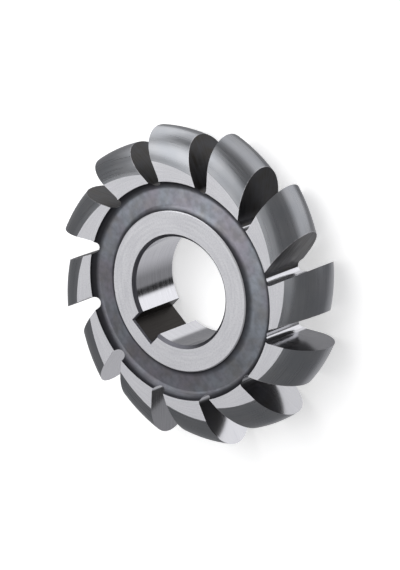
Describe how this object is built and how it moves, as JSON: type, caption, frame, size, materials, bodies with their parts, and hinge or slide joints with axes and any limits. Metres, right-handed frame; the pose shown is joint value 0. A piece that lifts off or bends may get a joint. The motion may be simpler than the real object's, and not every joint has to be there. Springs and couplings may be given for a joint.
{
  "type": "convex radius cutter",
  "caption": "Disc milling cutter with form-relieved teeth of half-round profile, recessed faces, and a plain bore with keyway for an arbor.",
  "frame": {"origin": "centre of the bore on the lower hub face, with the cutter lying flat", "axes": "+Z along the bore, out of the upper hub face; +X towards one cutting tip; -Y towards the keyway; the cutting faces look counterclockwise seen from above"},
  "size_m": [0.08, 0.08, 0.016],
  "materials": {
    "high_speed_steel": "ground bright on the hub faces, bore, tooth sides and cutting faces; dark oxide in the recesses and gullets and on the relieved form"
  },
  "bodies": {
    "root": {"radius_cutter": "high_speed_steel"}
  },
  "joints": []
}
